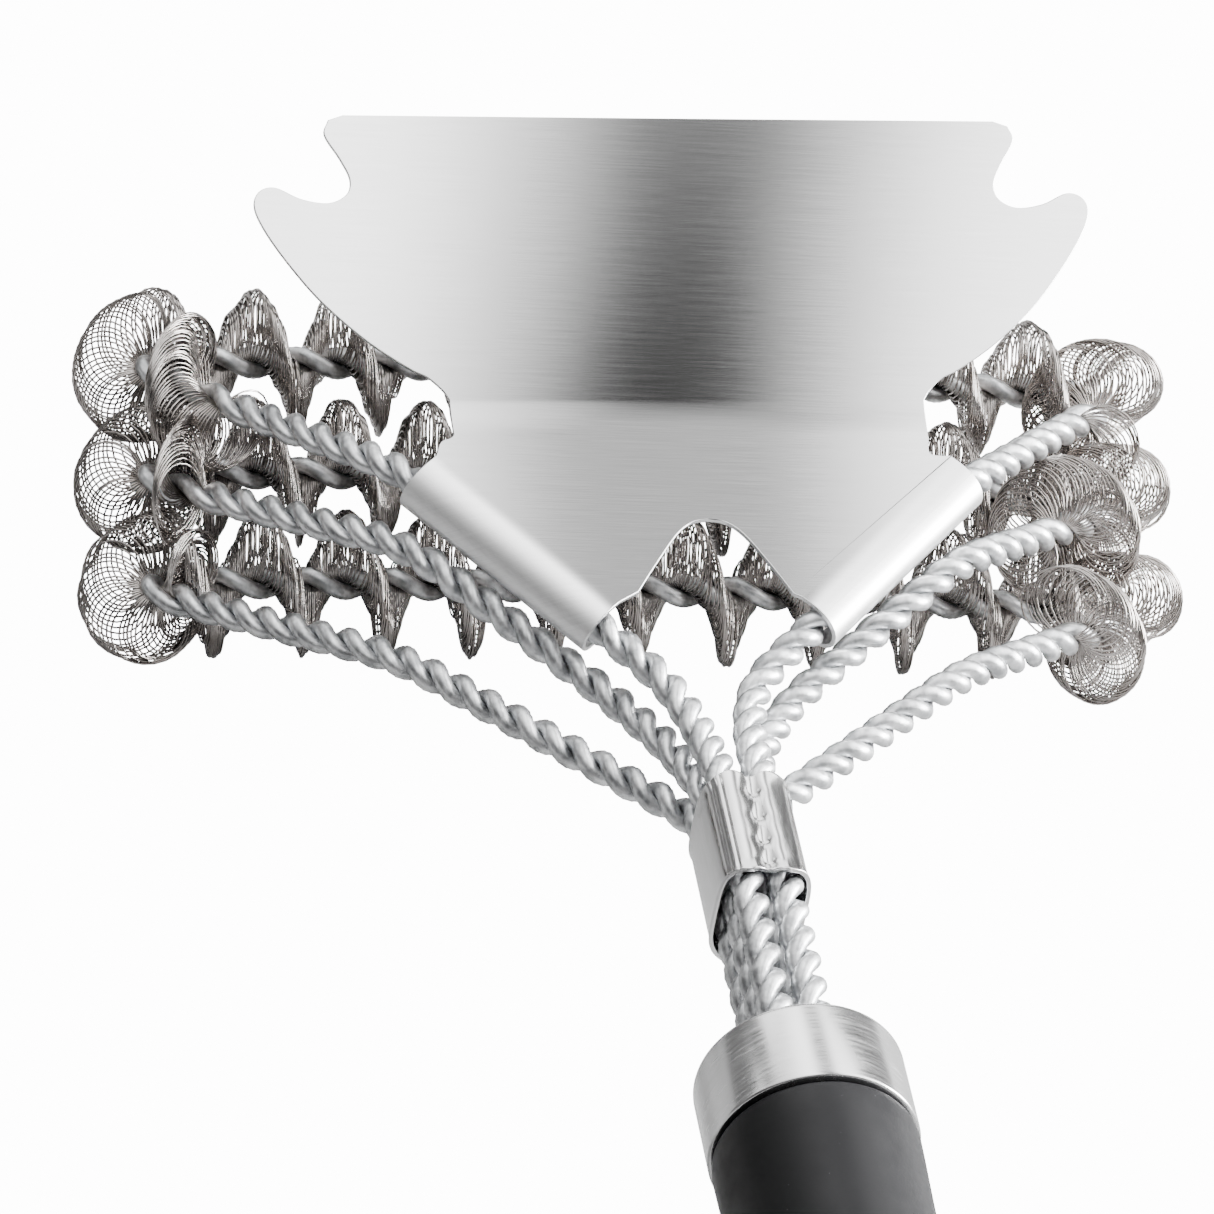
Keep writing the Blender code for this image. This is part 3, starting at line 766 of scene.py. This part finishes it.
def crimp_sleeve(look):
    """The pressed sleeve: two columns with a valley between them, press dimples and a folded seam."""
    angles = 2 * math.pi * (np.arange(SLEEVE_SIDES) + 0.5) / SLEEVE_SIDES
    cos, sin = np.cos(angles), np.sin(angles)
    x = (SLEEVE_HALF_X + SLEEVE_WALL / 2) * np.sign(cos) * np.abs(cos) ** SLEEVE_SQUARE_X
    z = (SLEEVE_HALF_Z + SLEEVE_WALL / 2) * np.sign(sin) * np.abs(sin) ** SLEEVE_SQUARE_Z
    valley = hump(x, VALLEY_WIDTH) * np.sign(sin)
    seam = sum(depth * hump(x - place, width) for place, width, depth in SEAMS) * (sin > 0)
    column = COLUMN_SHARE * hump(np.abs(x) - COLUMN_X, COLUMN_WIDTH) * (np.abs(sin) > COLUMN_LEAST_SINE)
    rows = []
    for y in np.linspace(SLEEVE_BACK_Y, SLEEVE_FRONT_Y, SLEEVE_ROWS):
        depth = 1.0 + DIMPLE_DEPTH * sum(hump(y - dimple, DIMPLE_LENGTH) for dimple in DIMPLES_Y)
        front = max(0.0, 1 - (SLEEVE_FRONT_Y - y) / SLEEVE_END_LENGTH)
        back = max(0.0, 1 - (y - SLEEVE_BACK_Y) / SLEEVE_END_LENGTH)
        end = front - back
        scallop = -SLEEVE_END_SCALLOP * abs(end) * (1 - column) * end
        swell = SLEEVE_END_SWELL * end**2
        wide, high = (1 + swell / half for half in SLEEVE_SWELL_HALF)
        rows.append(np.stack([x * wide, y + scallop, (z - valley * depth - seam) * high], axis=1))
    faces = tube_faces(SLEEVE_ROWS, SLEEVE_SIDES)[:-2]
    made = add_piece("crimp_sleeve", np.concatenate(rows), faces, look)
    thicken(made, SLEEVE_WALL)
    round_edges(made, SLEEVE_EDGE, 2)
    return made


def round_rows(profile):
    """A circle of points about the handle's axis for each (radius, y) of a profile."""
    cos, sin = np.cos(ROUND_ANGLES), np.sin(ROUND_ANGLES)
    return [np.stack([r * cos, np.full(ROUND_STEPS, y), r * sin], axis=1) for r, y in profile]


def closed_rows(start, count):
    """Quads round a body whose last circle of points joins its first."""
    faces = []
    for row in range(count):
        low, high = start + row * ROUND_STEPS, start + (row + 1) % count * ROUND_STEPS
        for i in range(ROUND_STEPS):
            j = (i + 1) % ROUND_STEPS
            faces.append((low + i, low + j, high + j, high + i))
    return faces


def arc_profile(radius_at, y_at, size, start, end, steps=7):
    """Points of a rounded edge in (radius, y), between two angles."""
    angles = np.linspace(start, end, steps)
    return [(radius_at + size * math.cos(a), y_at + size * math.sin(a)) for a in angles]


def collar(look):
    """The metal cup over the grip's front end, with a rounded front edge and a hole for the strands."""
    front, back = COLLAR_FRONT_Y, COLLAR_FRONT_Y - COLLAR_LENGTH
    outer, inner = COLLAR_RADIUS, COLLAR_RADIUS - COLLAR_WALL
    edge, lip = COLLAR_FRONT_EDGE, COLLAR_BACK_EDGE
    profile = [(COLLAR_HOLE_RADIUS, front - COLLAR_WALL), (COLLAR_HOLE_RADIUS, front)]
    profile += arc_profile(outer - edge, front - edge, edge, math.pi / 2, 0)
    profile += [(outer, back + COLLAR_LIP_Y)]
    profile += arc_profile(outer - lip, back + lip, lip, 0, -math.pi / 2, 4)
    profile += [(inner, back), (inner, back + COLLAR_INSIDE_STEP), (inner, front - COLLAR_WALL)]
    faces = closed_rows(0, len(profile))
    made = add_piece("collar", np.concatenate(round_rows(profile)), faces, look)
    keep_corners(made)
    return made


def handle(look):
    """The black grip: a plug inside the collar, then a long, slightly swelling body."""
    end_y = GRIP_PROFILE[-1][1]
    profile = [(AXIS_RADIUS, GRIP_FRONT_Y)]
    profile += [(GRIP_PLUG_RADIUS, GRIP_FRONT_Y), (GRIP_PLUG_RADIUS, GRIP_STEP_Y)]
    profile += arc_profile(*GRIP_EDGE, math.pi / 2, 0, 5)
    knots_y, knots_radius = zip(*smoothed([(y, r) for r, y in GRIP_PROFILE[::-1]], 8))
    ys = np.linspace(GRIP_BODY_Y, end_y + GRIP_BACK_EDGE, GRIP_ROWS)
    profile += list(zip(np.interp(ys, knots_y, knots_radius), ys))
    profile += [(GRIP_BACK_RADIUS, end_y), (AXIS_RADIUS, end_y)]
    faces = tube_faces(len(profile), ROUND_STEPS)
    made = add_piece("handle", np.concatenate(round_rows(profile)), faces, look)
    keep_corners(made)
    return made


def lug_rows():
    """The lug's four circles about its cross hole, with its outside drawn forward into the cap."""
    cos, sin = np.cos(ROUND_ANGLES), np.sin(ROUND_ANGLES)
    neck = np.where(cos > 1e-6, LUG_NECK, 0.0)
    rows = []
    for x, radius, reach in (
        (-LUG_HALF_WIDTH, LUG_HOLE_RADIUS, 0), (-LUG_HALF_WIDTH, LUG_RADIUS, 1),
        (LUG_HALF_WIDTH, LUG_RADIUS, 1), (LUG_HALF_WIDTH, LUG_HOLE_RADIUS, 0),
    ):
        level = PIVOT_Y + radius * cos + neck * reach
        rows.append(np.stack([np.full(ROUND_STEPS, x), level, radius * sin], axis=1))
    return rows


def end_cap(look):
    """The rounded cap and the lug, with its cross hole, that the ring hangs in."""
    profile = [(AXIS_RADIUS, CAP_FRONT_Y), (CAP_FRONT_RADIUS, CAP_FRONT_Y)]
    profile += smoothed(CAP_PROFILE) + [(AXIS_RADIUS, CAP_PROFILE[-1][1])]
    rows, lug = round_rows(profile), lug_rows()
    faces = tube_faces(len(rows), ROUND_STEPS) + closed_rows(len(rows) * ROUND_STEPS, len(lug))
    made = add_piece("end_cap", np.concatenate(rows + lug), faces, look)
    keep_corners(made)
    round_edges(made, CAP_EDGE, 3)
    return made


def paint(node, look):
    """Gives a CAD node that is shown as it is a better material."""
    frame["nodes"][node].material_slots[0].material = look


# Stage, light and camera


def pale_floor():
    """White paper: it glows for the camera and stays a plain lit surface for everything else."""
    bpy.ops.mesh.primitive_plane_add(size=FLOOR_SIZE, location=(0.0, 0.0, FLOOR_LEVEL))
    floor = bpy.context.object
    floor.name = "floor"
    made, tree, shader = new_material("floor_paper", (0.3, 0.3, 0.3), 0.9, 0.0)
    rays = tree.nodes.new("ShaderNodeLightPath")
    glow = tree.nodes.new("ShaderNodeEmission")
    glow.inputs["Strength"].default_value = FLOOR_GLOW
    both = tree.nodes.new("ShaderNodeMixShader")
    tree.links.new(rays.outputs["Is Camera Ray"], both.inputs["Fac"])
    tree.links.new(shader.outputs["BSDF"], both.inputs[1])
    tree.links.new(glow.outputs["Emission"], both.inputs[2])
    tree.links.new(both.outputs["Shader"], tree.nodes["Material Output"].inputs["Surface"])
    floor.data.materials.append(made)


def card_light():
    """The card's glow: a dark gap across it, closed ahead, and a fade towards the handle."""
    low_x, high_x, low_y, high_y = CARD_BOX
    made = bpy.data.materials.new("card_light")
    made.use_nodes = True
    tree = made.node_tree
    tree.nodes.clear()
    place = tree.nodes.new("ShaderNodeTexCoord")
    split = tree.nodes.new("ShaderNodeSeparateXYZ")
    tree.links.new(place.outputs["Generated"], split.inputs["Vector"])

    def over_x(stops):
        return ramp(tree, split.outputs["X"], [((x - low_x) / (high_x - low_x), v) for x, v in stops])

    def over_y(stops):
        return ramp(tree, split.outputs["Y"], [((y - low_y) / (high_y - low_y), v) for y, v in stops])

    gap = maths(tree, "SUBTRACT", over_x(GAP_ACROSS), over_y(GAP_DIP))
    lit = maths(tree, "MAXIMUM", gap, over_y(GAP_AHEAD))
    faded = maths(tree, "MULTIPLY", lit, over_y(CARD_FADE))
    glow = tree.nodes.new("ShaderNodeEmission")
    tree.links.new(maths(tree, "MULTIPLY", faded, CARD_GLOW), glow.inputs["Strength"])
    finish = tree.nodes.new("ShaderNodeOutputMaterial")
    tree.links.new(glow.outputs["Emission"], finish.inputs["Surface"])
    return made


def overhead_card():
    """The soft light above the scraper, seen only in reflections."""
    low_x, high_x, low_y, high_y = CARD_BOX
    middle = ((low_x + high_x) / 2, (low_y + high_y) / 2, CARD_HEIGHT)
    bpy.ops.mesh.primitive_plane_add(size=1.0, location=middle)
    card = bpy.context.object
    card.name = "overhead_card"
    card.scale = (high_x - low_x, high_y - low_y, 1.0)
    card.data.materials.append(card_light())
    card.visible_camera = False
    card.visible_diffuse = False
    card.visible_shadow = False


def area_light(name, place, size, power):
    data = bpy.data.lights.new(name, "AREA")
    data.shape = "RECTANGLE"
    data.size, data.size_y = size
    data.energy = power
    made = bpy.data.objects.new(name, data)
    bpy.context.scene.collection.objects.link(made)
    made.location = place
    made.rotation_mode = "QUATERNION"
    made.rotation_quaternion = (Vector(LIGHT_TARGET) - Vector(place)).to_track_quat("-Z", "Y")


def studio():
    """A dim white world, three area lights and the card."""
    world_light = bpy.data.worlds.new("studio")
    bpy.context.scene.world = world_light
    world_light.use_nodes = True
    back = world_light.node_tree.nodes["Background"]
    back.inputs["Color"].default_value = (1.0, 1.0, 1.0, 1.0)
    back.inputs["Strength"].default_value = WORLD_GLOW
    for name, place, size, power in AREA_LIGHTS:
        area_light(name, place, size, power)
    overhead_card()


def photo_camera():
    """A long-lens camera at the brush frame's fitted place."""
    turn_cos, turn_sin = math.cos(VIEW_TURN), math.sin(VIEW_TURN)
    tip_cos, tip_sin = math.cos(VIEW_TIP), math.sin(VIEW_TIP)
    roll_cos, roll_sin = math.cos(VIEW_ROLL), math.sin(VIEW_ROLL)
    right = np.array([turn_cos, -tip_cos * turn_sin, tip_sin * turn_sin])
    up = np.array([0.0, tip_sin, tip_cos])
    away = np.array([turn_sin, tip_cos * turn_cos, -tip_sin * turn_cos])
    level = roll_cos * right - roll_sin * up
    upright = roll_sin * right + roll_cos * up
    place = -(level * VIEW_OFFSET[0] + upright * VIEW_OFFSET[1] + away * VIEW_DISTANCE)
    data = bpy.data.cameras.new("camera")
    data.lens = LENS
    data.sensor_width = 36.0
    data.clip_start, data.clip_end = 0.05, 50.0
    made = bpy.data.objects.new("camera", data)
    bpy.context.scene.collection.objects.link(made)
    axes = Matrix(np.stack([level, upright, -away], axis=1).tolist()).to_4x4()
    made.matrix_world = TO_WORLD @ Matrix.Translation(Vector(place * MM)) @ axes
    bpy.context.scene.camera = made


photo_camera()
pale_floor()
studio()

wire_look = galvanized()
spring_look = spring_steel()
for loop_number, (loop_name, loop_layer, loop_bends, loop_corner) in enumerate(LOOPS):
    loop_path = Path(half_loop(loop_layer, loop_bends, loop_corner), SPRING_PAST_BAR[loop_name])
    for wire_side, letter in enumerate("ab"):
        core_wire(f"{loop_name}_loop_wire_{letter}", loop_path, wire_side, wire_look)
    coil_sleeve(f"{loop_name}_coil", loop_path, spring_look, loop_number)
scraper_plate(brushed_sheet())
crimp_sleeve(bright_steel("sleeve_steel", (900.0, 120.0, 900.0), 0.16))
collar(bright_steel("collar_steel", (160.0, 1800.0, 160.0), 0.2))
plastic_look = black_plastic()
handle(plastic_look)
end_cap(plastic_look)
paint("hanging_ring", bright_steel("ring_steel", (400.0, 400.0, 400.0), 0.2))
